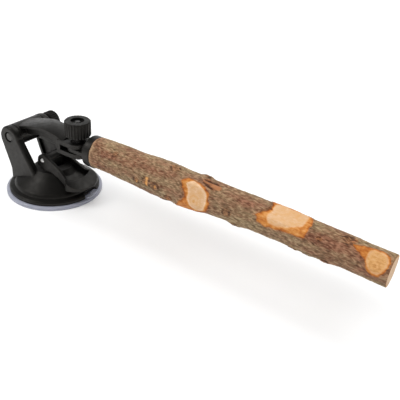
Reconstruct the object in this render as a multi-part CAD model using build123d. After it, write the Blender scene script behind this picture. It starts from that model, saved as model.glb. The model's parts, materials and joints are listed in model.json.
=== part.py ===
from build123d import *
import math
import os

# Bird perch: a natural branch on an arm that a lever-lock suction mount holds to a pane.
# Millimetres. The origin is the middle of the sealing face, +Z is away from the pane and
# +X runs along the perch. Both hinge axes of the mount run along Y.

# Fits
running_clearance = 0.06
sliding_clearance = 0.2
face_clearance = 0.05
moving_clearance = 0.4

# Suction cup
cup_radius = 40.0
cup_rim_height = 2.8
cup_edge_chamfer = 0.8
cup_wall = 2.4
cup_lift = 3.0
cup_lip_height = 1.2
cup_lip_wall = 1.6
tab_length = 15.0
tab_width = 4.6
tab_height = 1.8
tab_border = 0.9
tab_dish = 0.8
tab_azimuth = 9.0
tab_margin = 0.5
tab_notch_margin = 0.9

# Housing: flange, dome and two cheeks in one moulding
flange_radius = 37.5
flange_height = 2.2
flange_chamfer = 1.2
flange_top_width = 3.2
flange_top_rise = 0.9
dome_top_radius = 15.6
dome_foot_height = 1.4
dome_foot_round = 2.2
dome_height = 12.4
dome_hollow = 0.6
housing_wall = 2.4
guide_wall = 1.4
guide_length = 3.6
cheek_outer = 20.0
cheek_thickness = 5.6
cheek_top_radius = 10.8
cheek_top_drop = 1.7
cheek_edge_round = 2.2
cheek_rear_lean = 17.0
cheek_front_lean = 10.0
cheek_panel_depth = 2.2
cheek_panel_border = 2.8
cheek_foot_rear = -30.9
cheek_foot_front = -2.5
cheek_waist_rear = -31.0
cheek_waist_height = 16.0

# Arm hinge
hinge_x = -29.4
hinge_z = 44.5
bolt_radius = 2.5
bolt_head_radius = 4.3
bolt_head_height = 2.4
bolt_crown_round = 1.7
bolt_counterbore_depth = 2.8
friction_washer_thickness = 0.8
friction_washer_radius = 7.2
hinge_washer_radius = 6.6
steel_washer_thickness = 1.0

# Stem, spring and lever
stem_half_x = 4.2
stem_half_y = 6.6
stem_head_radius = 4.2
stem_flange_radius = 13.0
stem_flange_height = 2.0
spring_wire = 1.2
spring_coils = 3.5
pivot_x = -1.2
pivot_z = 28.8
pin_radius = 2.0
pin_half_length = 12.0
pin_end_round = 1.4
lever_throw = 24.0
stem_drop = 1.6
cam_foot_x = 5.0
ear_radius = 5.3
ear_brow_angle = 55.0
ear_half_width = 13.2
lever_waist_x = 17.5
lever_waist_half = 12.5
lever_neck_x = 26.0
lever_neck_half = 13.6
lever_half_width = 16.4
lever_shoulder_x = 29.6
lever_corner_x = 31.5
lever_corner_bulge = 3.4
lever_nose_half = 4.5
lever_draft = 2.9
lever_tip_x = 41.2
lever_tip_bottom = 14.2
lever_tip_top = 15.2
lever_arch_x = 12.5
lever_arch_top = 28.8
lever_crest_x = 24.5
lever_crest_top = 22.4
lever_lip_x = 31.5
lever_lip_top = 19.6
lever_lip_curve = 30.0
lever_sole_x = 28.8
lever_belly_x = 10.3
lever_belly_z = 21.6
lever_throat_x = 24.7
lever_throat_z = 16.5
lever_side_wall = 2.2
lever_floor = 1.6
lever_room = 0.9

# Arm
barrel_radius = 9.2
arm_root_half_width = 12.4
arm_edge_thickness = 2.4
arm_crown = 1.4
arm_head_half_width = 9.4
arm_peak_x = 2.0
arm_peak_z = 59.2
arm_end_top = 55.2
arm_end_overlap = 2.4
rib_half_width = 8.0
rib_bottom_rear = 46.4
rib_bottom_front = 49.4

# Forked head and thumb knob
head_x = 30.25
fork_middle_z = 48.2
fork_plate = 3.6
fork_radius = 10.2
tongue_thickness = 3.2
tongue_radius = 9.0
tongue_room = 1.6
head_washer_radius = 6.2
tongue_washer_thickness = 0.5
tongue_washer_radius = 7.5
hex_across_flats = 8.0
hex_head_height = 3.8
nut_height = 4.4
knob_radius = 10.4
knob_grip_height = 12.4
knob_neck_radius = 5.6
knob_neck_height = 3.6
knob_recess_radius = 5.4
knob_recess_depth = 2.2
knob_edge_chamfer = 0.7
knob_flutes = 26
knob_flute_radius = 0.85
screw_end_show = 1.4
screw_end_round = 1.0
hinge_knob_radius = 8.4
hinge_knob_grip_height = 8.0
hinge_knob_neck_height = 1.4
hinge_knob_neck_radius = 6.4

# Perch socket
collar_radius = 12.7
collar_thickness = 7.5
collar_front_x = 52.5
collar_edge_chamfer = 0.8
collar_axis_z = 49.8
shoulder_small_radius = 8.0
shoulder_large_radius = 11.4
shoulder_length = 4.0
insert_radius = 4.0
insert_length = 7.4
stud_radius = 3.0
stud_depth_in_wood = 30.0

# Perch: a branch that tapers, swells at its knots and wanders about its axis
perch_length = 233.7
perch_root_radius = 12.5
perch_tip_radius = 10.6
# share of the length, rise of the middle, swelling of the radius
perch_forms = [
    (0.0, 0.6, 0.0),
    (0.07, 0.9, 0.1),
    (0.17, 0.6, 0.7),
    (0.26, 0.6, 1.9),
    (0.37, 0.6, 1.2),
    (0.47, 1.6, 0.4),
    (0.58, 1.7, 0.1),
    (0.69, 2.2, 0.2),
    (0.78, 1.1, 0.2),
    (0.88, 1.2, -0.1),
    (1.0, 0.4, 0.0),
]
# sawn stubs of side twigs: share of the length, turn from the top, length, width,
# height of the sawn face over the middle line
perch_stubs = [
    (0.42, 66.0, 16.4, 19.6, 12.0),
    (0.70, 10.0, 27.0, 16.0, 8.8),
    (0.955, 44.0, 13.4, 13.4, 10.4),
]
perch_saw_margin = 0.5
# healed buds in the bark: share of the length, turn from the top, radius, stand-out
perch_buds = [
    (0.40, -20.0, 5.0, 1.4),
    (0.53, 120.0, 4.4, 1.2),
    (0.74, 125.0, 4.0, 1.0),
    (0.90, -8.0, 4.4, 1.3),
]

# Heights and places that follow from the sizes above
flange_base_z = cup_rim_height
flange_edge_z = flange_base_z + flange_height
flange_top_radius = flange_radius - flange_chamfer
dome_radius = flange_top_radius - flange_top_width
dome_foot_z = flange_edge_z + flange_chamfer + flange_top_rise
dome_base_z = dome_foot_z + dome_foot_height
dome_top_z = dome_base_z + dome_height
dome_lean = math.atan2(dome_height, dome_radius - dome_top_radius)
cheek_inner = cheek_outer - cheek_thickness
stem_base_z = cup_lift + cup_wall
stem_flange_top = stem_base_z + stem_flange_height
hub_top = stem_flange_top + face_clearance + cup_lip_height
post_corner = math.hypot(stem_half_x, stem_half_y)
lip_hole_radius = post_corner + sliding_clearance
guide_radius = math.hypot(stem_half_x + sliding_clearance, stem_half_y + sliding_clearance) + guide_wall
spring_radius = guide_radius + moving_clearance + spring_wire / 2
spring_roof_z = dome_top_z - housing_wall
ear_inner = stem_half_y + sliding_clearance * 2
barrel_half = cheek_inner - friction_washer_thickness - face_clearance * 2
fork_gap = tongue_thickness + 2 * tongue_washer_thickness + 4 * face_clearance
fork_top = fork_middle_z + fork_gap / 2 + fork_plate
fork_bottom = fork_middle_z - fork_gap / 2 - fork_plate
head_block_front = head_x - tongue_radius - tongue_room
head_knob_z = fork_top + steel_washer_thickness + face_clearance
head_knob_top = head_knob_z + knob_neck_height + knob_grip_height
hinge_knob_y = cheek_outer + steel_washer_thickness + face_clearance
collar_back_x = collar_front_x - collar_thickness
bolt_bore = bolt_radius + running_clearance


def rod_x(radius, x_from, x_to, z):
    """Round rod along X in the middle plane."""
    return Pos((x_from + x_to) / 2, 0, z) * Rot(0, 90, 0) * Cylinder(radius, x_to - x_from)


def rod_y(radius, y_from, y_to, x, z):
    """Round rod along Y."""
    return Pos(x, (y_from + y_to) / 2, z) * Rot(90, 0, 0) * Cylinder(radius, y_to - y_from)


def rod_z(radius, z_from, z_to, x=0.0):
    """Round rod along Z in the middle plane."""
    return Pos(x, 0, (z_from + z_to) / 2) * Cylinder(radius, z_to - z_from)


def block(x_from, x_to, half_y, z_from, z_to):
    """Box that is even about the middle plane."""
    middle = Pos((x_from + x_to) / 2, 0, (z_from + z_to) / 2)
    return middle * Box(x_to - x_from, 2 * half_y, z_to - z_from)


def side_prism(outline, y_from, y_to):
    """Prism of a closed XZ outline between two Y places."""
    return Pos(0, y_to, 0) * extrude(Plane.XZ * make_face(outline), y_to - y_from)


def turned(outline):
    """Solid turned about Z from a closed outline of radius and height."""
    return revolve(Plane.XZ * make_face(outline), Axis.Z)


def ring_y(radius, bore, y_from, y_to):
    """Washer about the arm's hinge axis."""
    ring = rod_y(radius, y_from, y_to, hinge_x, hinge_z)
    return ring - rod_y(bore, y_from, y_to, hinge_x, hinge_z)


def ring_z(radius, bore, z_from, z_to):
    """Washer about the thumb knob's axis."""
    return rod_z(radius, z_from, z_to, head_x) - rod_z(bore, z_from, z_to, head_x)


def tab_place():
    """Middle of the pull tab on the rim, turned along the rim."""
    radius = cup_radius - tab_width / 2 - tab_margin
    return Rot(0, 0, tab_azimuth) * Pos(radius, 0, 0) * Rot(0, 0, 90)


def suction_cup():
    """Soft cup: sealing ring, lifted membrane, hub that grips the stem, and pull tab."""
    pocket = stem_flange_radius + face_clearance
    hub = pocket + cup_lip_wall
    seal_inner = dome_radius - housing_wall - moving_clearance
    cup = turned(
        Polyline(
            (0, cup_lift),
            (stem_flange_radius, cup_lift),
            (seal_inner, 0),
            (cup_radius, 0),
            (cup_radius, cup_rim_height - cup_edge_chamfer),
            (cup_radius - cup_edge_chamfer, cup_rim_height),
            (seal_inner, cup_rim_height),
            (hub, stem_base_z),
            (hub, hub_top),
            (lip_hole_radius, hub_top),
            (lip_hole_radius, stem_flange_top + face_clearance),
            (pocket, stem_flange_top + face_clearance),
            (pocket, stem_base_z),
            (0, stem_base_z),
            close=True,
        )
    )
    rim = Pos(0, 0, cup_rim_height)
    tab = extrude(rim * tab_place() * SlotOverall(tab_length, tab_width), tab_height)
    dish = SlotOverall(tab_length - 2 * tab_border, tab_width - 2 * tab_border)
    dish_floor = Pos(0, 0, cup_rim_height + tab_height - tab_dish)
    tab -= extrude(dish_floor * tab_place() * dish, tab_dish)
    return cup + tab


def dome_body(grow):
    """Bell-shaped dome with a rounded foot and a flat top, grown by a clearance all round."""
    lean_r = math.sin(dome_lean)
    lean_z = math.cos(dome_lean)
    foot = (dome_radius + grow, dome_base_z + grow * math.tan(math.pi / 4 - dome_lean / 2))
    shoulder = (foot[0] - dome_foot_round * lean_z, foot[1] + dome_foot_round * lean_r)
    low = (foot[0], foot[1] - dome_foot_height)
    crown = (dome_top_radius + grow * math.tan(dome_lean / 2), dome_top_z + grow)
    waist = (
        (shoulder[0] + crown[0]) / 2 - dome_hollow * lean_r,
        (shoulder[1] + crown[1]) / 2 - dome_hollow * lean_z,
    )
    bend = ((low[0] + foot[0] + shoulder[0]) / 3, (low[1] + foot[1] + shoulder[1]) / 3)
    edges = [
        ThreePointArc(low, bend, shoulder),
        ThreePointArc(shoulder, waist, crown),
        Line(crown, (0, crown[1])),
        Line((0, crown[1]), (0, 0)),
        Line((0, 0), (low[0], 0)),
        Line((low[0], 0), low),
    ]
    return turned(edges)


def cheek_outline(inset=0.0):
    """Outline of a cheek: a leaning plate with a round top about the hinge axis."""
    top = cheek_top_radius - inset
    rear_lean = math.radians(cheek_rear_lean)
    front_lean = math.radians(cheek_front_lean)
    middle_z = hinge_z - cheek_top_drop
    rear = (hinge_x - top * math.cos(rear_lean), middle_z - top * math.sin(rear_lean))
    front = (hinge_x + top * math.cos(front_lean), middle_z + top * math.sin(front_lean))
    waist = (cheek_waist_rear + inset, cheek_waist_height)
    foot_z = flange_base_z + housing_wall
    return [
        ThreePointArc(rear, (hinge_x, middle_z + top), front),
        Line(front, (cheek_foot_front - inset, dome_top_z - housing_wall)),
        Line((cheek_foot_front - inset, dome_top_z - housing_wall), (cheek_foot_front - inset, foot_z)),
        Line((cheek_foot_front - inset, foot_z), (cheek_foot_rear + inset, foot_z)),
        Line((cheek_foot_rear + inset, foot_z), waist),
        Line(waist, rear),
    ]


def cheek():
    """The near cheek, its outer edges rounded and its inner face panelled."""
    plate = side_prism(cheek_outline(), -cheek_outer, -cheek_inner)
    rim = plate.faces().sort_by(Axis.Y)[0].edges()
    plate = fillet(rim, cheek_edge_round)
    panel = side_prism(cheek_outline(cheek_panel_border), -cheek_inner - cheek_panel_depth, -cheek_inner)
    below_hinge = hinge_z - cheek_top_radius - cheek_panel_border
    panel &= block(hinge_x * 2, cup_radius, cup_radius, 0, below_hinge)
    return plate - panel


def base_housing():
    """Flange, dome and cheeks, hollow underneath, with the guide for the stem."""
    flange = turned(
        Polyline(
            (0, flange_base_z),
            (flange_radius, flange_base_z),
            (flange_radius, flange_edge_z),
            (flange_top_radius, flange_edge_z + flange_chamfer),
            (dome_radius, dome_foot_z),
            (0, dome_foot_z),
            close=True,
        )
    )
    near_cheek = cheek()
    shell = dome_body(0.0) & block(-cup_radius, cup_radius, cup_radius, flange_base_z, dome_top_z)
    body = flange + shell + near_cheek + mirror(near_cheek, Plane.XZ)
    body -= dome_body(-housing_wall)
    body += rod_z(guide_radius, spring_roof_z - guide_length, dome_top_z)
    slot_x = stem_half_x + sliding_clearance
    body -= block(-slot_x, slot_x, stem_half_y + sliding_clearance, 0, dome_top_z + dome_height)
    notch = SlotOverall(tab_length + 2 * tab_notch_margin, tab_width + 2 * tab_notch_margin)
    notch_place = Pos(0, 0, flange_base_z) * tab_place()
    body -= extrude(notch_place * notch, dome_foot_z - flange_base_z)
    body -= rod_y(bolt_bore, -cheek_outer, cheek_outer, hinge_x, hinge_z)
    floor_y = -cheek_outer + bolt_counterbore_depth
    body -= rod_y(bolt_head_radius + sliding_clearance, -cheek_outer, floor_y, hinge_x, hinge_z)
    return body


def pull_stem():
    """Hard post from the cup's hub up to the lever pin."""
    post = block(-stem_half_x, stem_half_x, stem_half_y, stem_base_z, pivot_z)
    post += rod_y(stem_head_radius, -stem_half_y, stem_half_y, pivot_x, pivot_z)
    post += rod_z(stem_flange_radius, stem_base_z, stem_flange_top)
    return post - rod_y(pin_radius + running_clearance, -stem_half_y, stem_half_y, pivot_x, pivot_z)


def stem_spring():
    """Coil between the hub of the cup and the roof of the dome."""
    rise = spring_roof_z - hub_top - spring_wire - 2 * sliding_clearance
    start = hub_top + spring_wire / 2 + sliding_clearance
    path = Pos(0, 0, start) * Helix(rise / spring_coils, rise, spring_radius)
    section = Plane(origin=path @ 0, z_dir=path % 0) * Circle(spring_wire / 2)
    return sweep(section, path, is_frenet=True)


def cam_point(angle):
    """Point of the cam that bears on the dome when the lever is lifted by an angle."""
    turn = math.radians(angle)
    fall = stem_drop / math.radians(lever_throw)
    height = pivot_z - dome_top_z - sliding_clearance - fall * turn
    x = fall * math.cos(turn) - height * math.sin(turn)
    z = -height * math.cos(turn) - fall * math.sin(turn)
    return (pivot_x + x, pivot_z + z)


def lever_outline():
    """Side view of the lever: round ear, cam foot, arched walls and a paddle with a lip."""
    foot = cam_point(0)
    heel = cam_point(lever_throw)
    slope = math.tan(math.radians(lever_throw))
    back_x = pivot_x - ear_radius
    back = (back_x, heel[1] + (heel[0] - back_x) * slope)
    top = math.radians(ear_brow_angle)
    brow = (pivot_x + ear_radius * math.cos(top), pivot_z + ear_radius * math.sin(top))
    crest = (lever_crest_x, lever_crest_top)
    return [
        ThreePointArc((back_x, pivot_z), (pivot_x, pivot_z + ear_radius), brow),
        ThreePointArc(brow, (lever_arch_x, lever_arch_top), crest),
        Polyline(
            crest,
            (lever_lip_x, lever_lip_top),
            (lever_tip_x, lever_tip_top),
            (lever_tip_x, lever_tip_bottom),
            (lever_sole_x, lever_tip_bottom),
            (lever_throat_x, lever_throat_z),
            (lever_belly_x, lever_belly_z),
            (cam_foot_x, lever_belly_z),
            (cam_foot_x, foot[1]),
            foot,
        ),
        ThreePointArc(foot, cam_point(lever_throw / 2), heel),
        Line(heel, back),
        Line(back, (back_x, pivot_z)),
    ]


def lever_plan(inset):
    """Top view of the lever as an XY face: waisted bar, then a wide paddle with a blunt round tip."""
    rear = pivot_x - ear_radius - sliding_clearance - inset
    wide = lever_half_width - inset
    front = lever_tip_x - inset
    bulge_x = (front + lever_corner_x + lever_corner_bulge) / 2
    bulge_y = (wide + lever_nose_half + lever_corner_bulge) / 2
    side = [
        (rear, ear_half_width - inset),
        (pivot_x + ear_radius, ear_half_width - inset),
        (lever_waist_x, lever_waist_half - inset),
        (lever_neck_x, lever_neck_half - inset),
        (lever_shoulder_x, wide),
        (lever_corner_x, wide),
    ]
    near = [(x, -y) for x, y in side]
    edges = [
        Polyline(near),
        ThreePointArc(near[-1], (bulge_x, -bulge_y), (front, -lever_nose_half)),
        Line((front, -lever_nose_half), (front, lever_nose_half)),
        ThreePointArc((front, lever_nose_half), (bulge_x, bulge_y), side[-1]),
        Polyline(side[::-1]),
        Line(side[0], near[0]),
    ]
    return make_face(edges)


def lever_sides(inset):
    """Body over the top view whose sides draw in towards the top."""
    low = Pos(0, 0, lever_tip_bottom) * lever_plan(inset)
    high = Pos(0, 0, pivot_z + ear_radius) * lever_plan(inset + lever_draft)
    return loft([low, high], ruled=True)


def lever():
    """Cam lever: two ears on the pin, a trough and a paddle to lift."""
    height = pivot_z + 2 * ear_radius
    body = side_prism(lever_outline(), -lever_half_width, lever_half_width) & lever_sides(0.0)
    trough = side_prism(
        Polyline(
            (pivot_x + ear_radius, height),
            (pivot_x + ear_radius, lever_belly_z + lever_floor),
            (lever_belly_x, lever_belly_z + lever_floor),
            (lever_throat_x, lever_throat_z + lever_floor),
            (lever_sole_x, lever_tip_bottom + lever_floor),
            (lever_lip_x, lever_tip_bottom + lever_floor),
            (lever_lip_x, height),
            close=True,
        ),
        -lever_half_width,
        lever_half_width,
    )
    trough &= rod_z(lever_lip_curve, 0, height, lever_lip_x - lever_lip_curve)
    trough -= dome_body(lever_room + lever_floor)
    body -= trough & lever_sides(lever_side_wall)
    body -= dome_body(lever_room) & block(cam_foot_x, lever_tip_x, lever_half_width, 0, height)
    gap_end = pivot_x + ear_radius + stem_head_radius
    body -= block(pivot_x - ear_radius, gap_end, ear_inner, 0, height)
    return body - rod_y(pin_radius, -ear_half_width, ear_half_width, pivot_x, pivot_z)


def lever_pin():
    """Steel pin through both ears and the stem, its ends rounded."""
    pin = rod_y(pin_radius, -pin_half_length, pin_half_length, pivot_x, pivot_z)
    return fillet(pin.edges().filter_by(GeomType.CIRCLE), pin_end_round)


def hinge_bolt():
    """Bolt with a domed head in the near cheek and its thread in the rear knob."""
    seat = -cheek_outer + bolt_counterbore_depth
    end = hinge_knob_y + hinge_knob_neck_height + hinge_knob_grip_height - knob_recess_depth
    head = rod_y(bolt_head_radius, seat - bolt_head_height, seat, hinge_x, hinge_z)
    crown = head.faces().sort_by(Axis.Y)[0].edges()
    head = fillet(crown, bolt_crown_round)
    shank = rod_y(bolt_radius, seat, end + screw_end_show, hinge_x, hinge_z)
    shank = fillet(shank.faces().sort_by(Axis.Y)[-1].edges(), screw_end_round)
    return head + shank


def hinge_friction_washers():
    """One washer at each end of the arm's barrel."""
    inner_y = barrel_half + face_clearance
    far = ring_y(friction_washer_radius, bolt_bore, inner_y, cheek_inner - face_clearance)
    return Compound(children=[far, mirror(far, Plane.XZ)])


def hinge_washer():
    """Steel washer between the far cheek and the rear knob."""
    return ring_y(hinge_washer_radius, bolt_bore, cheek_outer, cheek_outer + steel_washer_thickness)


def thumb_knob(grip_radius, grip_height, neck_radius, neck_height):
    """Fluted knob that stands on its neck at the origin, open at the top for the screw end."""
    top = neck_height + grip_height
    grip = rod_z(grip_radius, neck_height, top)
    grip = chamfer(grip.edges().filter_by(GeomType.CIRCLE), knob_edge_chamfer)
    flute = Cylinder(knob_flute_radius, grip_height)
    ring = Pos(0, 0, neck_height + grip_height / 2) * PolarLocations(grip_radius, knob_flutes)
    grip -= [place * flute for place in ring]
    knob = grip + rod_z(neck_radius, 0, neck_height)
    knob -= rod_z(knob_recess_radius, top - knob_recess_depth, top)
    knob -= rod_z(bolt_bore, 0, top)
    hexagon = RegularPolygon(hex_across_flats / 2 + face_clearance, 6, major_radius=False)
    return knob - extrude(hexagon, nut_height + face_clearance)


def knob_nut():
    """Hexagon nut that sits in the foot of a knob."""
    hexagon = RegularPolygon(hex_across_flats / 2, 6, major_radius=False)
    return extrude(hexagon, nut_height) - rod_z(bolt_bore, 0, nut_height)


def at_hinge(piece):
    """Lays a piece made on Z along the hinge axis, behind the far cheek."""
    return Pos(hinge_x, hinge_knob_y, hinge_z) * Rot(-90, 0, 0) * piece


def at_head(piece):
    """Stands a piece made on Z on the washer of the forked head."""
    return Pos(head_x, 0, head_knob_z) * piece


def arm_section(x, half_width, crown_z):
    """Cross-section of the arm's top plate: crowned, with thin edges."""
    edge_z = crown_z - arm_crown
    low_z = edge_z - arm_edge_thickness
    edges = [
        ThreePointArc((-half_width, edge_z), (0, crown_z), (half_width, edge_z)),
        Line((half_width, edge_z), (half_width, low_z)),
        Line((half_width, low_z), (-half_width, low_z)),
        Line((-half_width, low_z), (-half_width, edge_z)),
    ]
    return Plane(origin=(x, 0, 0), x_dir=(0, 1, 0), z_dir=(1, 0, 0)) * make_face(edges)


def arm():
    """Arm: barrel on the hinge bolt, arched top plate, box rib and forked head."""
    barrel_top = hinge_z + barrel_radius
    front = head_block_front + arm_end_overlap
    middle = (arm_root_half_width + arm_head_half_width) / 2
    plate = loft(
        [
            arm_section(hinge_x, arm_root_half_width, barrel_top),
            arm_section((hinge_x + arm_peak_x) / 2, middle, (barrel_top + 2 * arm_peak_z) / 3),
            arm_section(arm_peak_x, (middle + arm_head_half_width) / 2, arm_peak_z),
            arm_section((arm_peak_x + front) / 2, arm_head_half_width, (2 * arm_peak_z + arm_end_top) / 3),
            arm_section(front, arm_head_half_width, arm_end_top),
        ]
    )
    rib_front = head_block_front - fork_radius
    rib = side_prism(
        Polyline(
            (hinge_x, barrel_top - arm_edge_thickness),
            (hinge_x + barrel_radius, rib_bottom_rear),
            (arm_peak_x - barrel_radius, rib_bottom_front),
            (rib_front, rib_bottom_front),
            (head_block_front, fork_bottom),
            (head_block_front, fork_top),
            (arm_peak_x, arm_peak_z - arm_crown - arm_edge_thickness / 2),
            close=True,
        ),
        -rib_half_width,
        rib_half_width,
    )
    body = rod_y(barrel_radius, -barrel_half, barrel_half, hinge_x, hinge_z) + plate + rib
    for low in (fork_bottom, fork_top - fork_plate):
        body += rod_z(fork_radius, low, low + fork_plate, head_x)
        body += block(head_block_front - fork_plate, head_x, fork_radius, low, low + fork_plate)
    body += block(head_block_front - fork_plate, head_block_front, fork_radius, fork_bottom, fork_top)
    body -= rod_y(bolt_bore, -barrel_half, barrel_half, hinge_x, hinge_z)
    return body - rod_z(bolt_bore, fork_bottom, fork_top, head_x)


def head_bolt():
    """Hexagon bolt up through the fork, its end showing in the top of the knob."""
    hexagon = RegularPolygon(hex_across_flats / 2, 6, major_radius=False)
    head = Pos(head_x, 0, fork_bottom - hex_head_height) * extrude(hexagon, hex_head_height)
    end = head_knob_top - knob_recess_depth + screw_end_show
    shank = rod_z(bolt_radius, fork_bottom, end, head_x)
    shank = fillet(shank.faces().sort_by(Axis.Z)[-1].edges(), screw_end_round)
    return head + shank


def head_friction_washers():
    """One thin washer above and one below the tongue."""
    low = fork_middle_z + tongue_thickness / 2 + face_clearance
    upper = ring_z(tongue_washer_radius, bolt_bore, low, low + tongue_washer_thickness)
    about = Plane.XY.offset(fork_middle_z)
    return Compound(children=[upper, mirror(upper, about)])


def head_washer():
    """Steel washer between the fork and the thumb knob."""
    return ring_z(head_washer_radius, bolt_bore, fork_top, fork_top + steel_washer_thickness)


def perch_socket():
    """Tongue in the fork, shoulder and collar that the branch butts against."""
    low = fork_middle_z - tongue_thickness / 2
    high = fork_middle_z + tongue_thickness / 2
    body = rod_z(tongue_radius, low, high, head_x)
    body += block(head_x, collar_back_x, tongue_radius, low, high)
    collar = rod_x(collar_radius, collar_back_x, collar_front_x, collar_axis_z)
    body += chamfer(collar.edges().filter_by(GeomType.CIRCLE), collar_edge_chamfer)
    middle = collar_back_x - shoulder_length / 2
    shoulder = Cone(shoulder_small_radius, shoulder_large_radius, shoulder_length)
    body += Pos(middle, 0, collar_axis_z) * Rot(0, 90, 0) * shoulder
    body -= rod_z(bolt_bore, low, high, head_x)
    return body - rod_x(insert_radius, collar_front_x - insert_length, collar_front_x, collar_axis_z)


def socket_insert():
    """Brass insert that takes the stud."""
    back = collar_front_x - insert_length
    sleeve = rod_x(insert_radius, back, collar_front_x, collar_axis_z)
    return sleeve - rod_x(stud_radius + face_clearance, back, collar_front_x, collar_axis_z)


def perch_stud():
    """Double-ended stud, half in the insert and half in the wood."""
    back = collar_front_x - insert_length + face_clearance
    return rod_x(stud_radius, back, collar_front_x + stud_depth_in_wood, collar_axis_z)


def perch_station(share):
    """Height of the branch's middle and its radius at a share of the length."""
    after = next(i for i, form in enumerate(perch_forms) if form[0] >= share)
    right = perch_forms[after]
    left = perch_forms[max(after - 1, 0)]
    span = right[0] - left[0]
    part = (share - left[0]) / span if span else 0.0
    rise = left[1] + (right[1] - left[1]) * part
    swell = left[2] + (right[2] - left[2]) * part
    radius = perch_root_radius + (perch_tip_radius - perch_root_radius) * share + swell
    return collar_axis_z + rise, radius


def perch_spot(share, turn):
    """Frame on the branch's middle line, its Z pointing out at a turn from the top."""
    z, radius = perch_station(share)
    way = math.radians(turn)
    out = (0, -math.sin(way), math.cos(way))
    return Plane(origin=(collar_front_x + share * perch_length, 0, z), x_dir=(1, 0, 0), z_dir=out), radius


def perch():
    """Branch with sawn twig stubs and healed buds, bored for the stud."""
    sections = []
    for share, rise, swell in perch_forms:
        z, radius = perch_station(share)
        x = collar_front_x + share * perch_length
        sections.append(Plane(origin=(x, 0, z), x_dir=(0, 1, 0), z_dir=(1, 0, 0)) * Circle(radius))
    branch = loft(sections)
    for share, turn, length, width, height in perch_stubs:
        spot, radius = perch_spot(share, turn)
        branch += extrude(spot * Ellipse(length / 2, width / 2), height + perch_saw_margin)
        saw = Ellipse(length / 2 + perch_saw_margin, width / 2 + perch_saw_margin)
        branch -= extrude(spot * Pos(0, 0, height) * saw, radius)
    for share, turn, bud_radius, stand_out in perch_buds:
        spot, radius = perch_spot(share, turn)
        branch += spot * Pos(0, 0, radius + stand_out - bud_radius) * Sphere(bud_radius)
    bore = stud_radius + face_clearance
    depth = stud_depth_in_wood + face_clearance
    return branch - rod_x(bore, collar_front_x, collar_front_x + depth, collar_axis_z)


def main():
    """Writes one file per piece."""
    os.makedirs("parts", exist_ok=True)
    pieces = {
        "suction_cup": suction_cup(),
        "base_housing": base_housing(),
        "pull_stem": pull_stem(),
        "stem_spring": stem_spring(),
        "lever": lever(),
        "lever_pin": lever_pin(),
        "arm": arm(),
        "hinge_bolt": hinge_bolt(),
        "hinge_friction_washers": hinge_friction_washers(),
        "hinge_washer": hinge_washer(),
        "hinge_knob": at_hinge(
            thumb_knob(
                hinge_knob_radius, hinge_knob_grip_height, hinge_knob_neck_radius, hinge_knob_neck_height
            )
        ),
        "hinge_knob_nut": at_hinge(knob_nut()),
        "head_bolt": head_bolt(),
        "head_friction_washers": head_friction_washers(),
        "head_washer": head_washer(),
        "head_knob": at_head(thumb_knob(knob_radius, knob_grip_height, knob_neck_radius, knob_neck_height)),
        "head_knob_nut": at_head(knob_nut()),
        "perch_socket": perch_socket(),
        "socket_insert": socket_insert(),
        "perch_stud": perch_stud(),
        "perch": perch(),
    }
    for name, piece in pieces.items():
        export_step(piece, f"parts/{name}.step")


main()
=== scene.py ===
import itertools
import json
import math

import bpy
import numpy as np
from mathutils import Matrix, Vector


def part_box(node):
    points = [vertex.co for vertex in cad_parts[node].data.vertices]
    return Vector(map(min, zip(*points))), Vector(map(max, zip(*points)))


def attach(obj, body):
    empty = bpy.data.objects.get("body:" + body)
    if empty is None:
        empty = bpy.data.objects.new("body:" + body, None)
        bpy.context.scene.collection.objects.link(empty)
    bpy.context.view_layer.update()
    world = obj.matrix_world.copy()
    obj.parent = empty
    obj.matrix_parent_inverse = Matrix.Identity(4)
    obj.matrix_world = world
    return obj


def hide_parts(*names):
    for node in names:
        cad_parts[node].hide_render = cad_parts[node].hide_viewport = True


# Bird perch on a lever-lock suction mount: a natural branch, black moulded plastic and a clear cup.
# Scene units are metres. Names that end in _mm are millimetres, and the branch is worked out in them.

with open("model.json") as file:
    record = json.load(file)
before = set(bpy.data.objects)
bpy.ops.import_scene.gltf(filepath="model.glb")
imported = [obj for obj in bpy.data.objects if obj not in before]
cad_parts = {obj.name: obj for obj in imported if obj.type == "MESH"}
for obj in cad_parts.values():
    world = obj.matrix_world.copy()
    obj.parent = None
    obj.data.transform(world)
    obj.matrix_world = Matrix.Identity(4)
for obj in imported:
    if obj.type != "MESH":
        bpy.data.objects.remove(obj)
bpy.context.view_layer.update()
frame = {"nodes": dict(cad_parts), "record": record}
nodes = frame["nodes"]

MM = 0.001

# Camera of the photograph
CAMERA_PLACE = Vector((0.3267, -0.2942, 0.2566))
CAMERA_TARGET = Vector((0.1429, 0.0078, 0.03934))
CAMERA_ROLL = math.radians(4.63)
CAMERA_LENS = 51.09
CAMERA_SENSOR = 36.0


def add_camera():
    """Camera at the photograph's viewing angle."""
    back = (CAMERA_PLACE - CAMERA_TARGET).normalized()
    level = Vector((0, 0, 1)).cross(back).normalized()
    upright = back.cross(level)
    right = level * math.cos(CAMERA_ROLL) + upright * math.sin(CAMERA_ROLL)
    up = upright * math.cos(CAMERA_ROLL) - level * math.sin(CAMERA_ROLL)
    data = bpy.data.cameras.new("photo_camera")
    data.lens = CAMERA_LENS
    data.sensor_width = CAMERA_SENSOR
    data.clip_start = 0.01
    camera = bpy.data.objects.new("photo_camera", data)
    camera.matrix_world = Matrix.Translation(CAMERA_PLACE) @ Matrix((right, up, back)).transposed().to_4x4()
    bpy.context.collection.objects.link(camera)
    bpy.context.scene.camera = camera


# Materials


def tint(red, green, blue):
    """Linear colour from display values of 0 to 255."""
    shares = [value / 255 for value in (red, green, blue)]
    return (*[s / 12.92 if s <= 0.04045 else ((s + 0.055) / 1.055) ** 2.4 for s in shares], 1.0)


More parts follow.
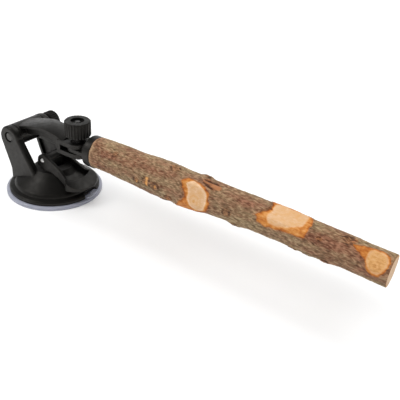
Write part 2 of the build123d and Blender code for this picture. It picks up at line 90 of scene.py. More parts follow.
class Recipe:
    """A material under construction: its nodes and its main shader."""

    def __init__(self, name):
        self.material = bpy.data.materials.new(name)
        self.material.use_nodes = True
        self.tree = self.material.node_tree
        self.shader = self.tree.nodes["Principled BSDF"]
        self.place = self.add("ShaderNodeTexCoord").outputs["Object"]

    def add(self, kind, **settings):
        node = self.tree.nodes.new(kind)
        for key, value in settings.items():
            setattr(node, key, value)
        return node

    def feed(self, socket, value):
        """Links a node's output to a socket, or sets the socket to a plain value."""
        if isinstance(value, bpy.types.NodeSocket):
            self.tree.links.new(value, socket)
        else:
            socket.default_value = value

    def shade(self, **values):
        """Sets the main shader's sockets. Spaces in their names are written as underscores."""
        for name, value in values.items():
            self.feed(self.shader.inputs[name.replace("_", " ")], value)

    def noise(self, size_mm, detail=2.0, stretch=(1, 1, 1), roughness=0.5):
        """Cloudy field from 0 to 1 whose lumps have about that size, drawn out along the axes."""
        mapping = self.add("ShaderNodeMapping")
        self.feed(mapping.inputs["Vector"], self.place)
        mapping.inputs["Scale"].default_value = [1 / (size_mm * MM * s) for s in stretch]
        node = self.add("ShaderNodeTexNoise")
        self.feed(node.inputs["Vector"], mapping.outputs["Vector"])
        node.inputs["Scale"].default_value = 1.0
        node.inputs["Detail"].default_value = detail
        node.inputs["Roughness"].default_value = roughness
        return node.outputs["Fac"]

    def attribute(self, name):
        return self.add("ShaderNodeAttribute", attribute_name=name).outputs["Fac"]

    def remap(self, value, low, high, start=0.3, end=0.7):
        """Values from start to end become values from low to high."""
        node = self.add("ShaderNodeMapRange", interpolation_type="SMOOTHSTEP")
        limits = (("From Min", start), ("From Max", end), ("To Min", low), ("To Max", high))
        for name, given in (("Value", value), *limits):
            self.feed(node.inputs[name], given)
        return node.outputs["Result"]

    def math(self, operation, a, b):
        node = self.add("ShaderNodeMath", operation=operation)
        self.feed(node.inputs[0], a)
        self.feed(node.inputs[1], b)
        return node.outputs["Value"]

    def mix(self, share, a, b):
        """Colour a where share is 0 and b where it is 1."""
        node = self.add("ShaderNodeMix", data_type="RGBA")
        self.feed(node.inputs["Factor"], share)
        self.feed(node.inputs[6], a)
        self.feed(node.inputs[7], b)
        return node.outputs[2]

    def ramp(self, value, stops):
        """Colours along a value: a list of place and colour."""
        node = self.add("ShaderNodeValToRGB")
        elements = node.color_ramp.elements
        while len(elements) < len(stops):
            elements.new(0.5)
        for element, (place, colour) in zip(elements, stops):
            element.position = place
            element.color = colour
        self.feed(node.inputs["Fac"], value)
        return node.outputs["Color"]

    def soft_edge(self, radius_mm):
        """Normal as if the edges were rounded by that radius."""
        node = self.add("ShaderNodeBevel", samples=6)
        node.inputs["Radius"].default_value = radius_mm * MM
        return node.outputs["Normal"]

    def edge_mask(self, soft):
        """1 along the edges, 0 on open faces."""
        node = self.add("ShaderNodeVectorMath", operation="DOT_PRODUCT")
        self.feed(node.inputs[0], soft)
        self.feed(node.inputs[1], self.add("ShaderNodeNewGeometry").outputs["Normal"])
        return self.remap(node.outputs["Value"], 1.0, 0.0, 0.9, 0.995)

    def bump(self, height, depth_mm, strength=1.0, normal=None):
        node = self.add("ShaderNodeBump")
        node.inputs["Strength"].default_value = strength
        node.inputs["Distance"].default_value = depth_mm * MM
        self.feed(node.inputs["Height"], height)
        if normal is not None:
            self.feed(node.inputs["Normal"], normal)
        return node.outputs["Normal"]


def moulded_plastic(name, dark, light, rubbed_and_highlight, roughness, grain_mm):
    """Satin moulded plastic: fine spark texture, cloudy gloss and edges that are a little lighter, partly rubbed wear
    and partly a painted highlight.
    """
    recipe = Recipe(name)
    soft = recipe.soft_edge(radius_mm=0.45)
    body = recipe.mix(recipe.noise(size_mm=7.0, detail=3.0), dark, light)
    rub_and_highlight_breakup = recipe.remap(recipe.noise(size_mm=2.2, detail=3.0), 0.25, 1.0)
    # Lighter colour along the edges: partly rubbed wear, partly a painted highlight on the edges.
    rub_and_highlight = recipe.math("MULTIPLY", recipe.edge_mask(soft), rub_and_highlight_breakup)
    cloud = recipe.noise(size_mm=3.5, detail=4.0)
    grain = recipe.noise(size_mm=grain_mm, detail=1.0)
    recipe.shade(
        Base_Color=recipe.mix(rub_and_highlight, body, rubbed_and_highlight),
        Roughness=recipe.remap(cloud, roughness - 0.05, roughness + 0.08),
        Specular_IOR_Level=0.38,
        Specular_Tint=(1.0, 0.95, 0.88, 1.0),
        Normal=recipe.bump(grain, depth_mm=0.012, normal=soft),
    )
    return recipe.material


def clear_rubber():
    """Soft clear vinyl with a cold tint, faint flow lines and a slightly dull skin."""
    recipe = Recipe("clear_vinyl")
    cloud = recipe.noise(size_mm=9.0, detail=3.0)
    dull = recipe.noise(size_mm=4.0, detail=3.0)
    flow = recipe.noise(size_mm=5.0, detail=2.0, stretch=(1, 1, 3))
    recipe.shade(
        Base_Color=recipe.mix(cloud, tint(204, 208, 230), tint(222, 224, 238)),
        Roughness=recipe.remap(dull, 0.1, 0.2),
        Transmission_Weight=0.55,
        IOR=1.46,
        Normal=recipe.bump(flow, depth_mm=0.02, normal=recipe.soft_edge(radius_mm=0.5)),
    )
    return recipe.material


def metal(name, dark, light, roughness):
    """Turned metal: fine tool lines, cloudy polish and small marks."""
    recipe = Recipe(name)
    cloud = recipe.noise(size_mm=1.6, detail=4.0)
    marks = recipe.noise(size_mm=0.9, detail=4.0)
    lines = recipe.noise(size_mm=0.35, detail=2.0, stretch=(1, 6, 1))
    recipe.shade(
        Base_Color=recipe.mix(cloud, dark, light),
        Metallic=1.0,
        Roughness=recipe.remap(marks, roughness - 0.07, roughness + 0.12),
        Normal=recipe.bump(lines, depth_mm=0.01, normal=recipe.soft_edge(radius_mm=0.2)),
    )
    return recipe.material


def grey_nylon():
    """Dull washer nylon with a fine cut texture."""
    recipe = Recipe("washer_nylon")
    cloud = recipe.noise(size_mm=2.0, detail=3.0)
    dull = recipe.noise(size_mm=1.2, detail=3.0)
    cuts = recipe.noise(size_mm=0.4, detail=2.0)
    recipe.shade(
        Base_Color=recipe.mix(cloud, tint(96, 96, 94), tint(128, 127, 124)),
        Roughness=recipe.remap(dull, 0.45, 0.6),
        Normal=recipe.bump(cuts, depth_mm=0.02, normal=recipe.soft_edge(radius_mm=0.2)),
    )
    return recipe.material


# Shares of the modelled ridges, the flecks and the fibres in the bark's light and dark
RIDGE_SHARE = 0.34
FLECK_SHARE = 0.2
FIBRE_SHARE = 0.46


def bark_and_wood():
    """Bark, orange inner bark, scars and pale sawn wood, placed by the branch's own attributes."""
    recipe = Recipe("branch")
    ridge = recipe.attribute("ridge")
    fibre = recipe.noise(size_mm=0.6, detail=4.0, stretch=(3.5, 1, 1), roughness=0.65)
    fleck = recipe.noise(size_mm=1.1, detail=3.0, stretch=(3, 1, 1), roughness=0.6)
    ridges = recipe.math("MULTIPLY", ridge, RIDGE_SHARE)
    coarse = recipe.math("ADD", ridges, recipe.math("MULTIPLY", fleck, FLECK_SHARE))
    relief = recipe.math("ADD", coarse, recipe.math("MULTIPLY", fibre, FIBRE_SHARE))
    grey = recipe.ramp(
        relief,
        [(0.36, tint(86, 69, 49)), (0.46, tint(114, 93, 67)), (0.54, tint(134, 112, 83)), (0.64, tint(168, 146, 112))],
    )
    red = recipe.ramp(
        relief,
        [(0.36, tint(70, 39, 28)), (0.46, tint(99, 62, 44)), (0.54, tint(120, 79, 58)), (0.64, tint(154, 111, 86))],
    )
    mottle = recipe.remap(recipe.noise(size_mm=1.3, detail=3.0, stretch=(2.5, 1, 1)), -0.2, 0.2)
    redness = recipe.math("ADD", recipe.attribute("red"), mottle)
    bark = recipe.mix(redness, grey, red)
    scar = recipe.ramp(relief, [(0.3, tint(46, 26, 17)), (0.46, tint(86, 52, 34)), (0.62, tint(164, 110, 72))])
    bark = recipe.mix(recipe.attribute("scar"), bark, scar)
    grain = recipe.math("ADD", recipe.attribute("grain"), recipe.remap(fibre, -0.14, 0.14))
    inner = recipe.ramp(
        grain,
        [(0.05, tint(116, 58, 24)), (0.35, tint(170, 96, 40)), (0.62, tint(194, 127, 60)), (0.95, tint(212, 158, 98))],
    )
    pale = recipe.ramp(
        grain,
        [(0.0, tint(172, 116, 62)), (0.3, tint(206, 156, 98)), (0.6, tint(208, 168, 128)), (1.0, tint(228, 199, 168))],
    )
    colour = recipe.mix(recipe.attribute("ring"), bark, inner)
    colour = recipe.mix(recipe.attribute("cut"), colour, pale)
    skin = recipe.bump(fibre, depth_mm=0.16, strength=0.7)
    fuzz = recipe.noise(size_mm=0.25, detail=2.0, stretch=(3, 1, 1))
    recipe.shade(
        Base_Color=colour,
        Roughness=recipe.remap(fleck, 0.62, 0.86),
        Specular_IOR_Level=0.3,
        Normal=recipe.bump(fuzz, depth_mm=0.04, strength=0.6, normal=skin),
    )
    return recipe.material


def dress_nodes():
    """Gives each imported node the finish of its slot."""
    finishes = {
        # The third colour of each plastic is its lighter edge colour: partly rubbed wear, partly a painted highlight.
        "black_plastic": moulded_plastic(
            "black_satin", tint(8, 8, 7), tint(14, 13, 12), tint(39, 38, 36), roughness=0.43, grain_mm=0.32
        ),
        "knob_plastic": moulded_plastic(
            "black_grip", tint(9, 9, 8), tint(15, 14, 13), tint(44, 42, 41), roughness=0.5, grain_mm=0.26
        ),
        "steel": metal("bright_steel", tint(214, 213, 210), tint(240, 239, 236), roughness=0.34),
        "black_steel": metal("black_oxide_steel", tint(62, 61, 60), tint(92, 91, 89), roughness=0.3),
        "brass": metal("yellow_brass", tint(176, 140, 74), tint(210, 176, 108), roughness=0.28),
        "clear_cup": clear_rubber(),
        "grey_nylon": grey_nylon(),
        "branch_wood": bark_and_wood(),
    }
    for part in frame["record"]["subparts"]:
        slots = nodes[part["node"]].data.materials
        slots.clear()
        slots.append(finishes[part["material_slot"]])
    return finishes


# Branch

BRANCH_ROWS = 660
BRANCH_COLUMNS = 236
CAP_ROWS = 16
# rows on each side over which the form below is smoothed
FORM_REACH = BRANCH_ROWS // 34
# share of the length, rise of the middle, swelling of the radius
BRANCH_FORMS = np.array([
    (0.0, 0.6, 0.0), (0.07, 0.9, 0.1), (0.17, 0.6, 0.7), (0.26, 0.6, 1.9), (0.37, 0.6, 1.2), (0.47, 1.6, 0.4),
    (0.58, 1.7, 0.1), (0.69, 2.2, 0.2), (0.78, 1.1, 0.2), (0.88, 1.2, -0.1), (1.0, 0.4, 0.0),
])
ROOT_RADIUS = 12.35
TIP_RADIUS = 10.45
MEAN_RADIUS = 11.8


def smooth(low, high, value):
    """0 below low, 1 above high, with an easy run between them."""
    share = np.clip((value - low) / (high - low), 0, 1)
    return share * share * (3 - 2 * share)


class Grain:
    """Smooth random field in space, the same on each run, from about -1 to 1."""

    def __init__(self, seed):
        source = np.random.default_rng(seed)
        self.order = source.permutation(256)
        slopes = source.normal(size=(256, 3))
        self.slopes = slopes / np.linalg.norm(slopes, axis=1)[:, None]

    def __call__(self, points, sizes, shift=0.0):
        scaled = points / np.array(sizes) + shift
        cell = np.floor(scaled).astype(int)
        part = scaled - cell
        ease = part ** 3 * (part * (part * 6 - 15) + 10)
        total = np.zeros(points.shape[:-1])
        for corner in itertools.product((0, 1), repeat=3):
            at = cell + np.array(corner)
            key = self.order[at[..., 0] & 255]
            key = self.order[(key + at[..., 1]) & 255]
            key = self.order[(key + at[..., 2]) & 255]
            weight = np.prod(np.where(np.array(corner) == 1, ease, 1 - ease), axis=-1)
            total += weight * np.sum(self.slopes[key] * (part - np.array(corner)), axis=-1)
        return total * 1.6


# Outlines on the bark: place along the perch and turn in degrees from the top towards the camera
FIRST_PALE = [
    (140.9, 42), (145.2, 28), (148.4, 30), (152.7, 38), (156.7, 45), (158.7, 59), (159.4, 81), (158.4, 108),
    (155.7, 119), (151.9, 122), (148.7, 114), (146.4, 100), (143.9, 89), (144.7, 76), (143.9, 60), (142.2, 50),
]
FIRST_RING = [
    (136.9, 37), (138.9, 27), (142.9, 23), (147.9, 26), (153.2, 30), (157.7, 38), (159.9, 46), (160.9, 56),
    (160.9, 68), (162.7, 80), (161.7, 112), (157.2, 124), (152.9, 132), (147.7, 134), (141.9, 138), (138.4, 131),
    (134.2, 131), (137.9, 106), (141.7, 90), (141.9, 78), (139.7, 66), (137.9, 54), (136.9, 45),
]
SECOND_PALE = [
    (204.7, -10), (206.4, -18), (210.9, -32), (213.5, -24), (215.9, -18), (220.2, -20), (222.9, -30), (226.7, -26),
    (227.9, -14), (227.7, 14), (227.7, 29), (225.4, 39), (220.7, 54), (215.2, 63), (210.7, 69), (206.4, 65),
    (204.7, 53), (204.2, 40), (205.7, 26), (204.9, 12),
]
SECOND_RING = [
    (200.9, -18), (202.7, -40), (206.7, -44), (217.2, -44), (222.7, -42), (228.9, -30), (231.7, -8), (232.9, 12),
    (231.9, 29), (232.4, 44), (232.4, 66), (230.2, 73), (226.7, 72), (221.9, 72), (217.4, 76), (212.9, 80),
    (209.7, 80), (204.2, 84), (201.4, 78), (197.9, 74), (197.9, 60), (194.7, 58), (197.4, 50), (200.2, 36),
    (202.7, 20), (203.4, 5),
]
THIRD_PALE = [
    (271.4, 24), (273.4, 15), (277.9, 11), (280.7, 16), (282.9, 28), (283.7, 46), (282.9, 65), (280.9, 80),
    (278.4, 85), (275.4, 80), (273.2, 72), (271.4, 56), (270.9, 48), (271.4, 39),
]
THIRD_RING = [
    (260.4, 24), (263.7, 20), (268.4, 13), (272.9, 10), (276.9, 5), (281.2, 8), (284.2, 19), (285.4, 30),
    (284.9, 46), (284.2, 66), (282.9, 80), (280.2, 94), (276.7, 94), (273.9, 86), (271.9, 70), (270.4, 57),
    (268.7, 52), (265.9, 44), (263.4, 36), (261.4, 31),
]
FIRST_WOUND = [
    (149.4, 8), (151.4, -8), (157.7, 4), (161.2, -3), (164.9, 10), (166.7, 26), (164.4, 32), (159.9, 35),
    (154.7, 29), (151.2, 22),
]
SECOND_WOUND = [(255.7, 12), (258.7, 6), (261.7, -2), (263.4, 10), (261.4, 23), (258.9, 22)]
# Sawn stubs: turn and height of the flat face, most that it stands over the bark, tone of its wood,
# strength of its growth rings, place and turn of its pith, then the outlines of the pale wood and of the inner bark
SAWN_FACES = [
    (72.0, 11.6, 1.0, 0.62, 0.34, (150.0, 90.0), FIRST_PALE, FIRST_RING),
    (18.0, 9.6, 0.3, 0.55, 0.06, (221.0, -4.0), SECOND_PALE, SECOND_RING),
    (46.0, 10.0, 0.7, 0.3, 0.2, (277.0, 62.0), THIRD_PALE, THIRD_RING),
]
# Depth of the saw's marks in the faces, and height of the lip of bark round them
SAW_MARK_DEPTH = 0.05
BARK_LIP_HEIGHT = 0.3
# Torn strips that bare the inner bark: place, turn, half length, half width
TORN_STRIPS = [
    (110.0, 82.0, 1.9, 4.6),
    (117.4, 90.0, 0.9, 1.7),
    (100.6, 97.0, 0.9, 1.3),
]
# Knots: place, turn, radius, height of the rim, depth of the middle, darkness
KNOTS = [
    (100.2, 93.5, 2.4, 0.6, 0.3, 0.5),
    (109.3, 84.0, 3.4, 0.7, 0.1, 0.5),
    (117.4, 88.0, 3.2, 0.8, 0.4, 0.55),
    (126.5, 6.5, 3.4, 1.1, 0.2, 0.5),
    (128.7, 112.0, 2.8, 0.9, 0.3, 0.8),
    (122.5, 134.0, 2.2, 0.9, 0.2, 0.5),
    (133.5, 137.0, 2.0, 0.9, 0.2, 0.6),
    (149.6, -26.0, 2.7, 1.7, 0.0, 0.5),
    (175.9, 88.5, 2.8, 0.4, 0.4, 0.6),
    (181.4, 136.0, 3.0, 1.6, 0.2, 0.4),
    (224.9, 132.0, 2.4, 1.2, 0.3, 0.6),
    (234.5, 137.0, 2.0, 1.0, 0.2, 0.5),
    (240.7, 50.5, 1.5, 0.3, 0.5, 0.9),
    (247.7, 128.0, 2.4, 1.1, 0.3, 0.6),
    (257.5, 14.0, 3.4, 1.2, 0.2, 0.5),
    (76.0, 40.0, 2.0, 0.3, 0.4, 0.5),
    (88.0, -70.0, 3.2, 1.0, 0.3, 0.6),
    (136.0, -120.0, 4.2, 1.3, 0.4, 0.7),
    (190.0, -64.0, 3.6, 1.0, 0.5, 0.7),
    (206.0, 176.0, 3.4, 1.1, 0.4, 0.6),
    (252.0, -105.0, 3.6, 1.2, 0.5, 0.7),
]
# Healed wounds on the side away from the camera: place, turn, half length, half width
WOUNDS = [(172.0, -140.0, 8.0, 4.0), (94.0, 168.0, 9.0, 4.0)]


# Fields in the bark: size of their lumps along the perch and across it, and how high they stand
LONG_LUMPS, LONG_LUMP_HEIGHT = (26, 10, 10), 0.42
SHORT_LUMPS, SHORT_LUMP_HEIGHT = (9, 5, 5), 0.26
SWAY, SWAY_REACH = (9, 7, 7), 0.9
FURROWS, FURROW_HEIGHT = (5.0, 1.15, 1.15), 0.2
FLAKES, FLAKE_HEIGHT = (3.6, 1.7, 1.7), 0.16
THREADS, THREAD_HEIGHT = (2.4, 0.7, 0.7), 0.09
RED_PATCHES, RED_PATCH_SHARE = (24, 7, 7), 0.75
RED_FLECKS, RED_FLECK_SHARE = (8, 2.4, 2.4), 0.24
RAGGED_EDGES = (3.4, 2.1, 2.1)
BROKEN_EDGES = (2.6, 1.7, 1.7)
WOUND_RIBS = (9, 2.2, 2.2)
TORN_RIBS = (9, 2.0, 2.0)
# Redness of the bark: all over, on the side that faces turn 45, and more there in zones of place, half length, redness
RED_ALL_OVER = 0.18
RED_SIDE_TURN, RED_SIDE_WIDTH, RED_SIDE = 45, 45, 0.42
RED_ZONES = [(249, 16, 0.85), (76, 24, 0.25)]
# Ridge tone of the bark's first edge, next to the collar
ROOT_TONE = 0.45


def wrapped(turn):
    """Angle brought to within half a turn of zero."""
    return (turn + math.pi) % (2 * math.pi) - math.pi


def branch_surface(root_x, tip_x, axis_z):
    """Points of the bark and its attributes on a grid of places along the perch and turns round it."""
    share = np.linspace(0, 1, BRANCH_ROWS)
    kernel = np.hanning(2 * FORM_REACH + 1)
    kernel /= kernel.sum()
    rise, swell = [
        np.convolve(np.pad(np.interp(share, BRANCH_FORMS[:, 0], column), FORM_REACH, mode="edge"), kernel, "valid")
        for column in (BRANCH_FORMS[:, 1], BRANCH_FORMS[:, 2])
    ]
    x = (root_x + share * (tip_x - root_x))[:, None]
    turn = np.linspace(-math.pi, math.pi, BRANCH_COLUMNS, endpoint=False)[None, :]
    middle = (axis_z + rise)[:, None]
    core = (ROOT_RADIUS + (TIP_RADIUS - ROOT_RADIUS) * share + swell)[:, None] + 0 * turn
    x, turn = np.broadcast_arrays(x, turn)
    here = np.stack([x, -core * np.sin(turn), core * np.cos(turn)], axis=-1)

    lump, streak, fine, patch = Grain(11), Grain(23), Grain(37), Grain(51)
    radius = core + LONG_LUMP_HEIGHT * lump(here, LONG_LUMPS) + SHORT_LUMP_HEIGHT * lump(here, SHORT_LUMPS, shift=7.3)
    sway = here.copy()
    sway[..., 1] += SWAY_REACH * streak(here, SWAY, shift=3.1)
    sway[..., 2] += SWAY_REACH * streak(here, SWAY, shift=17.7)
    furrow = 1 - 2 * np.abs(streak(sway, FURROWS))
    flake = streak(sway, FLAKES, shift=9.4)
    thread = fine(sway, THREADS)
    relief = FURROW_HEIGHT * furrow + FLAKE_HEIGHT * flake + THREAD_HEIGHT * thread
    facing = np.exp(-((np.degrees(turn) - RED_SIDE_TURN) / RED_SIDE_WIDTH) ** 2)
    flush = RED_ALL_OVER + RED_SIDE * facing
    for place, length, redness in RED_ZONES:
        flush = flush + redness * facing * np.exp(-((x - place) / length) ** 2)
    flush = flush + RED_PATCH_SHARE * patch(here, RED_PATCHES) + RED_FLECK_SHARE * patch(here, RED_FLECKS, shift=5.0)
    root = 1 - smooth(0.6, 2.4, x - x.min())
    bark_ridge = np.clip(0.5 + 0.252 * furrow + 0.3 * flake + 0.22 * thread, 0, 1)
    masks = {
        "ridge": root * ROOT_TONE + bark_ridge * (1 - 0.3 * root),
        "red": np.clip(flush, 0, 1),
        "scar": np.zeros_like(core),
        "ring": np.zeros_like(core),
        "cut": np.zeros_like(core),
        "grain": np.full_like(core, 0.6),
    }
    ragged = fine(here, RAGGED_EDGES, shift=2.2)
    broken = smooth(-0.25, 0.45, fine(here, BROKEN_EDGES, shift=6.1))

    for place, angle, size, rim, sink, dark in KNOTS:
        away = np.hypot((x - place) / 1.25, core * wrapped(turn - math.radians(angle))) / size
        away = away + 0.12 * ragged
        radius = radius + rim * np.exp(-(away / 1.15) ** 2) - (rim + sink) * np.exp(-(away / 0.5) ** 4)
        masks["scar"] = np.maximum(masks["scar"], dark * (1 - smooth(0.8, 1.3, away)))
        masks["ridge"] = masks["ridge"] - 0.55 * broken * np.exp(-((away - 0.85) / 0.24) ** 2)
    for place, angle, length, width in WOUNDS:
        away = np.hypot((x - place) / length, core * wrapped(turn - math.radians(angle)) / width) + 0.3 * ragged
        inside = 1 - smooth(0.55, 1.1, away)
        radius = radius + inside * (0.35 + 0.5 * np.abs(streak(here, WOUND_RIBS, shift=31.0)))
        masks["scar"] = np.maximum(masks["scar"], 0.85 * inside)
    for place, angle, length, width in TORN_STRIPS:
        away = np.hypot((x - place) / length, core * wrapped(turn - math.radians(angle)) / width) + 0.4 * ragged
        inside = 1 - smooth(0.5, 0.95, away)
        radius = radius - 0.35 * inside
        relief = relief * (1 - 0.5 * inside)
        masks["ring"] = np.maximum(masks["ring"], inside)
        masks["grain"] = masks["grain"] + 0.3 * inside
    radius = radius + relief
    for outline in (FIRST_WOUND, SECOND_WOUND):
        depth = outline_depth(outline, x, turn) + 0.9 * ragged
        inside = smooth(-0.6, 0.7, depth)
        torn = streak(here, TORN_RIBS, shift=31.0)
        radius = radius + inside * (0.2 + 0.9 * torn)
        masks["scar"] = np.maximum(masks["scar"], 0.95 * inside)
        masks["ridge"] = masks["ridge"] + inside * np.clip(0.56 + 0.9 * torn - masks["ridge"], -1, 1)
    for face in SAWN_FACES:
        radius = saw_face(face, x, turn, core, radius, ragged, masks)

    points = np.stack([x, -radius * np.sin(turn), middle + radius * np.cos(turn)], axis=-1)
    return points, masks, middle


def rounded(corners):
    """Closed outline with its corners cut twice, so that it runs softly."""
    for _ in range(2):
        after = np.roll(corners, -1, axis=0)
        corners = np.stack([0.75 * corners + 0.25 * after, 0.25 * corners + 0.75 * after], axis=1).reshape(-1, 2)
    return corners


def outline_depth(outline, x, turn):
    """Depth in mm inside a closed outline on the bark, negative outside it."""
    corners = rounded(np.array(outline, float))
    middle = corners.mean(axis=0)
    corners = (corners - middle) * (1.0, math.radians(MEAN_RADIUS))
    u = x - middle[0]
    v = MEAN_RADIUS * wrapped(turn - math.radians(middle[1]))
    nearest = np.full(u.shape, 99.0)
    inside = np.zeros(u.shape, bool)
    for (u0, v0), (u1, v1) in zip(corners, np.roll(corners, -1, axis=0)):
        du, dv = u1 - u0, v1 - v0
        along = np.clip(((u - u0) * du + (v - v0) * dv) / (du * du + dv * dv), 0, 1)
        nearest = np.minimum(nearest, np.hypot(u - u0 - along * du, v - v0 - along * dv))
        crosses = (v0 > v) != (v1 > v)
        inside ^= crosses & (u < u0 + (v - v0) * du / (dv if dv else 1.0))
    return np.where(inside, nearest, -nearest)


def saw_face(face, x, turn, core, radius, ragged, masks):
    """Flattens one sawn stub into the bark and marks its inner bark, pale wood and growth rings."""
    angle, height, rise, wood_tone, growth, (pith_x, pith_turn), pale, ring = face
    off = wrapped(turn - math.radians(angle))
    plane = height / np.cos(np.clip(off, -1.2, 1.2))
    pale_depth = outline_depth(pale, x, turn) + 0.2 * ragged
    ring_depth = outline_depth(ring, x, turn) + 0.45 * ragged
    sawn = np.minimum(plane, core + rise) + SAW_MARK_DEPTH * np.sin(x * 3.1 + 5.0 * turn)
    sawn = sawn + 0.3 * smooth(0.2, -1.6, pale_depth) + 0.12 * ragged * smooth(0.0, -1.0, pale_depth)
    flare = np.where(radius > sawn, 0.7, 3.0)
    hold = smooth(-1, 0.5, ring_depth / flare)
    lip = BARK_LIP_HEIGHT * np.exp(-((ring_depth + 0.7) / 0.8) ** 2)
    blur = max(0.2, 0.9 - 2 * growth)
    cut = smooth(-0.1 - blur, 0.1 + blur, pale_depth)
    bared = smooth(-0.2, 0.5, ring_depth)
    inner_tone = 0.28 + 0.3 * smooth(0.0, 2.2, ring_depth) + 0.3 * smooth(-1.2, 0.0, pale_depth) + 0.34 * ragged
    pith = np.hypot(x - pith_x, MEAN_RADIUS * wrapped(turn - math.radians(pith_turn)) * 0.9)
    rings = 0.5 + 0.5 * np.sin(pith * 2.6 + 2.2 * ragged)
    tone = wood_tone + 0.6 * growth * np.exp(-(pale_depth / 1.1) ** 2) + 0.16 * ragged
    tone = tone - growth * (rings * np.exp(-pith / 4.5) + 0.3 * np.exp(-(pith / 1.2) ** 2))
    masks["ring"] = np.maximum(masks["ring"], bared)
    masks["cut"] = np.maximum(masks["cut"], cut)
    masks["scar"] = np.maximum(masks["scar"], 0.4 * np.exp(-((ring_depth + 0.6) / 0.6) ** 2))
    masks["grain"] = np.where(bared > 0, np.clip(inner_tone + (tone - inner_tone) * cut, 0, 1), masks["grain"])
    return radius + (sawn - radius) * hold + lip


def cap_rings(edge, centre, masks):
    """Rings of a sawn end from the bark to the pith, with their attributes."""
    shares = np.linspace(1, 0, CAP_ROWS + 2)[1:-1]
    spread = edge - centre
    points = centre + shares[:, None, None] * spread[None]
    values = {name: np.zeros((CAP_ROWS, len(column))) for name, column in masks.items()}
    reach = np.linalg.norm(spread, axis=-1)[None] * shares[:, None]
    bark = np.linalg.norm(spread, axis=-1)[None] - reach
    values["ridge"] += ROOT_TONE
    values["red"] += 0.5
    values["ring"] += 1 - smooth(1.2, 2.0, bark)
    values["cut"] += smooth(1.0, 1.6, bark)
    growth = 0.5 + 0.5 * np.sin(reach * 4.4)
    pith = np.exp(-(reach / 0.9) ** 2)
    values["grain"] += np.clip(0.95 - 0.28 * growth - 0.45 * pith, 0, 1)
    return points, values


def build_branch(material):
    """The natural branch as one closed mesh that stands for the CAD branch."""
    low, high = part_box("perch")
    socket_low, socket_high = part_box("perch_socket")
    axis_z = (socket_low.z + socket_high.z) / 2 / MM
    points, masks, middle = branch_surface(low.x / MM, high.x / MM, axis_z)
    root_centre = np.array([points[0, 0, 0], 0, middle[0, 0]])
    tip_centre = np.array([points[-1, 0, 0], 0, middle[-1, 0]])
    first = {name: mask[0] for name, mask in masks.items()}
    last = {name: mask[-1] for name, mask in masks.items()}
    root_points, root_values = cap_rings(points[0], root_centre, first)
    tip_points, tip_values = cap_rings(points[-1], tip_centre, last)
    grid = np.concatenate([root_points[::-1], points, tip_points])
    rows, columns = grid.shape[:2]
    index = np.arange(rows * columns).reshape(rows, columns)
    after = np.roll(index, -1, axis=1)
    quads = np.stack([index[:-1], after[:-1], after[1:], index[1:]], axis=-1).reshape(-1, 4)
    root_pith, tip_pith = rows * columns, rows * columns + 1
    fans = [(root_pith, b, a) for a, b in zip(index[0], after[0])]
    fans += [(tip_pith, a, b) for a, b in zip(index[-1], after[-1])]
    vertices = np.concatenate([grid.reshape(-1, 3), [root_centre, tip_centre]]) * MM
    mesh = bpy.data.meshes.new("natural_branch")
    mesh.from_pydata(vertices.tolist(), [], quads.tolist() + fans)
    for name, mask in masks.items():
        values = np.concatenate([root_values[name][::-1], mask, tip_values[name]]).ravel()
        values = np.concatenate([values, values[[0, -1]]])
        mesh.attributes.new(name, "FLOAT", "POINT").data.foreach_set("value", values.astype(np.float32))
    mesh.polygons.foreach_set("use_smooth", np.ones(len(mesh.polygons), bool))
    mesh.materials.append(material)
    mesh.validate()
    branch = bpy.data.objects.new("natural_branch", mesh)
    bpy.context.collection.objects.link(branch)
    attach(branch, "perch")
    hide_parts("perch")


# Stage

FLOOR_HALF = 1.7
FLOOR_TONE = (0.93, 0.93, 0.93, 1)
# Brightness of the surroundings: as the camera sees them, at the horizon, overhead, and the height where they are dim
SEEN_GLOW = 1.0
HORIZON_GLOW = 0.95
UPPER_GLOW = 0.12
DIM_HEIGHT = 0.35
MOUNT_MIDDLE = (0.0, 0.0, 0.03)
# Lights: name, place, target, size, power, whether glossy faces mirror it
LIGHTS = [
    ("overhead", (0.1, -0.3, 2.5), (0.1, 0.0, 0.0), 4.0, 104.0, False),
    ("white_wall", (-0.9, 1.1, 0.75), MOUNT_MIDDLE, 1.4, 5.0, True),
    ("left_key", (-0.72, -0.55, 0.98), MOUNT_MIDDLE, 0.5, 3.6, True),
    ("back_key", (0.0, 0.67, 1.0), MOUNT_MIDDLE, 0.5, 1.8, True),
]


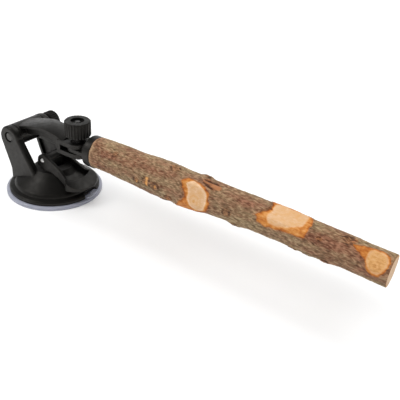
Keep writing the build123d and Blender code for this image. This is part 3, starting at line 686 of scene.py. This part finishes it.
def add_area_light(name, place, target, size, power, mirrored):
    """Soft square light that faces a target. It shows in glossy faces only if it is mirrored."""
    data = bpy.data.lights.new(name, "AREA")
    data.size = size
    data.energy = power
    light = bpy.data.objects.new(name, data)
    light.location = place
    light.visible_glossy = mirrored
    light.rotation_euler = (Vector(target) - Vector(place)).to_track_quat("-Z", "Y").to_euler()
    bpy.context.collection.objects.link(light)


def add_stage():
    """Plain pale floor, surroundings that are white to the eye and dim as light, and soft lights."""
    corners = [(x * FLOOR_HALF, y * FLOOR_HALF, 0) for x, y in ((-1, -1), (1, -1), (1, 1), (-1, 1))]
    mesh = bpy.data.meshes.new("floor")
    mesh.from_pydata(corners, [], [(0, 1, 2, 3)])
    floor = bpy.data.objects.new("floor", mesh)
    bpy.context.collection.objects.link(floor)
    recipe = Recipe("pale_floor")
    recipe.shade(Base_Color=FLOOR_TONE, Roughness=0.9, Specular_IOR_Level=0.1)
    mesh.materials.append(recipe.material)
    world = bpy.data.worlds.new("white_surroundings")
    world.use_nodes = True
    tree = world.node_tree
    background = tree.nodes["Background"]
    background.inputs["Color"].default_value = (1, 1, 1, 1)
    sky = tree.nodes.new("ShaderNodeTexCoord")
    height = tree.nodes.new("ShaderNodeSeparateXYZ")
    fade = tree.nodes.new("ShaderNodeMapRange")
    fade.interpolation_type = "SMOOTHSTEP"
    limits = (("From Min", 0.0), ("From Max", DIM_HEIGHT), ("To Min", HORIZON_GLOW), ("To Max", UPPER_GLOW))
    for name, value in limits:
        fade.inputs[name].default_value = value
    seen = tree.nodes.new("ShaderNodeLightPath")
    choice = tree.nodes.new("ShaderNodeMix")
    choice.inputs["B"].default_value = SEEN_GLOW
    tree.links.new(sky.outputs["Generated"], height.inputs["Vector"])
    tree.links.new(height.outputs["Z"], fade.inputs["Value"])
    tree.links.new(seen.outputs["Is Camera Ray"], choice.inputs["Factor"])
    tree.links.new(fade.outputs["Result"], choice.inputs["A"])
    tree.links.new(choice.outputs["Result"], background.inputs["Strength"])
    scene = bpy.context.scene
    scene.world = world
    scene.view_settings.view_transform = "Standard"
    for light in LIGHTS:
        add_area_light(*light)


add_camera()
finishes = dress_nodes()
build_branch(finishes["branch_wood"])
add_stage()
